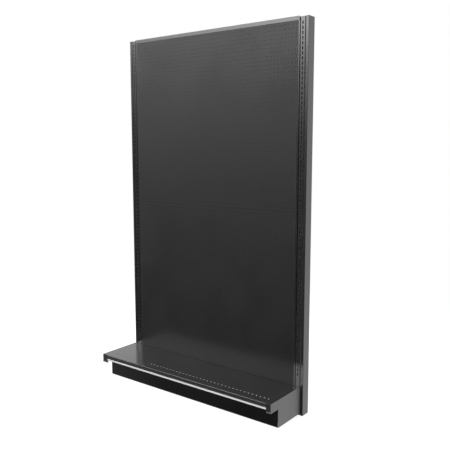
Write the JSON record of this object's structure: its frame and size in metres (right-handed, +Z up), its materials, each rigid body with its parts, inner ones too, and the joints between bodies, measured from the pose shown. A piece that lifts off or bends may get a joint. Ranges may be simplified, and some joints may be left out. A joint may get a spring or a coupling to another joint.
{
  "type": "gondola shelving unit",
  "caption": "Single-sided gondola wall unit: two slotted uprights, a perforated back panel, a low closed base with a deck, a price rail and a kickplate.",
  "frame": {"origin": "on the floor, at the middle of the outline", "axes": "+Z up, +X to the right seen from the front, -Y the front"},
  "size_m": [1.305, 0.356, 2.1496],
  "materials": {
    "frame_coat": "satin black powder coat",
    "panel_coat": "low-sheen black powder coat",
    "end_panel_coat": "satin charcoal powder coat",
    "deck_coat": "glossy black powder coat",
    "kick_coat": "satin black powder coat",
    "cap_plastic": "fine moulded texture",
    "rail_plastic": "smooth extrusion",
    "strip_plastic": "smooth light grey extrusion",
    "zinc_plate": "bright zinc plate",
    "spring_steel": "blued spring steel",
    "foot_plastic": "moulded plastic"
  },
  "bodies": {
    "frame": {"upright_left": "frame_coat", "upright_right": "frame_coat", "slotted_standard_left": "frame_coat", "slotted_standard_right": "frame_coat", "upright_cap_left": "cap_plastic", "upright_cap_right": "cap_plastic", "foot_plate_left": "frame_coat", "foot_plate_right": "frame_coat", "top_rail": "frame_coat", "centre_rail": "frame_coat", "bottom_rail": "frame_coat", "rail_screws": "zinc_plate", "back_panel": "panel_coat", "rear_panel": "panel_coat", "rear_panel_screws": "zinc_plate", "base_bracket_left": "frame_coat", "base_bracket_right": "frame_coat", "bracket_bolts": "zinc_plate", "bracket_nuts": "zinc_plate", "tie_bar": "frame_coat", "tie_bar_screws": "zinc_plate", "kickplate_clips": "spring_steel", "end_panel_left": "end_panel_coat", "end_panel_right": "end_panel_coat", "end_panel_screws": "zinc_plate"},
    "deck": {"base_deck": "deck_coat", "deck_stiffeners": "frame_coat", "price_rail": "rail_plastic"},
    "price_strip": {"price_strip": "strip_plastic"},
    "kickplate": {"kickplate": "kick_coat"},
    "leveller_rear_left": {"leveller_pad_rear_left": "foot_plastic", "leveller_stud_rear_left": "zinc_plate"},
    "leveller_rear_right": {"leveller_pad_rear_right": "foot_plastic", "leveller_stud_rear_right": "zinc_plate"},
    "leveller_front_left": {"leveller_pad_front_left": "foot_plastic", "leveller_stud_front_left": "zinc_plate"},
    "leveller_front_right": {"leveller_pad_front_right": "foot_plastic", "leveller_stud_front_right": "zinc_plate"}
  },
  "joints": [
    {"name": "deck_lift", "type": "slide", "parent": "frame", "child": "deck", "axis": [0, 0, 1], "range_m": [0, 0.15]},
    {"name": "price_strip_pull", "type": "slide", "parent": "deck", "child": "price_strip", "axis": [0, -1, 0], "range_m": [0, 0.05]},
    {"name": "kickplate_pull", "type": "slide", "parent": "frame", "child": "kickplate", "axis": [0, -1, 0], "range_m": [0, 0.1]},
    {"name": "leveller_rear_left_travel", "type": "slide", "parent": "frame", "child": "leveller_rear_left", "axis": [0, 0, -1], "range_m": [0, 0.02]},
    {"name": "leveller_rear_right_travel", "type": "slide", "parent": "frame", "child": "leveller_rear_right", "axis": [0, 0, -1], "range_m": [0, 0.02]},
    {"name": "leveller_front_left_travel", "type": "slide", "parent": "frame", "child": "leveller_front_left", "axis": [0, 0, -1], "range_m": [0, 0.02]},
    {"name": "leveller_front_right_travel", "type": "slide", "parent": "frame", "child": "leveller_front_right", "axis": [0, 0, -1], "range_m": [0, 0.02]}
  ]
}
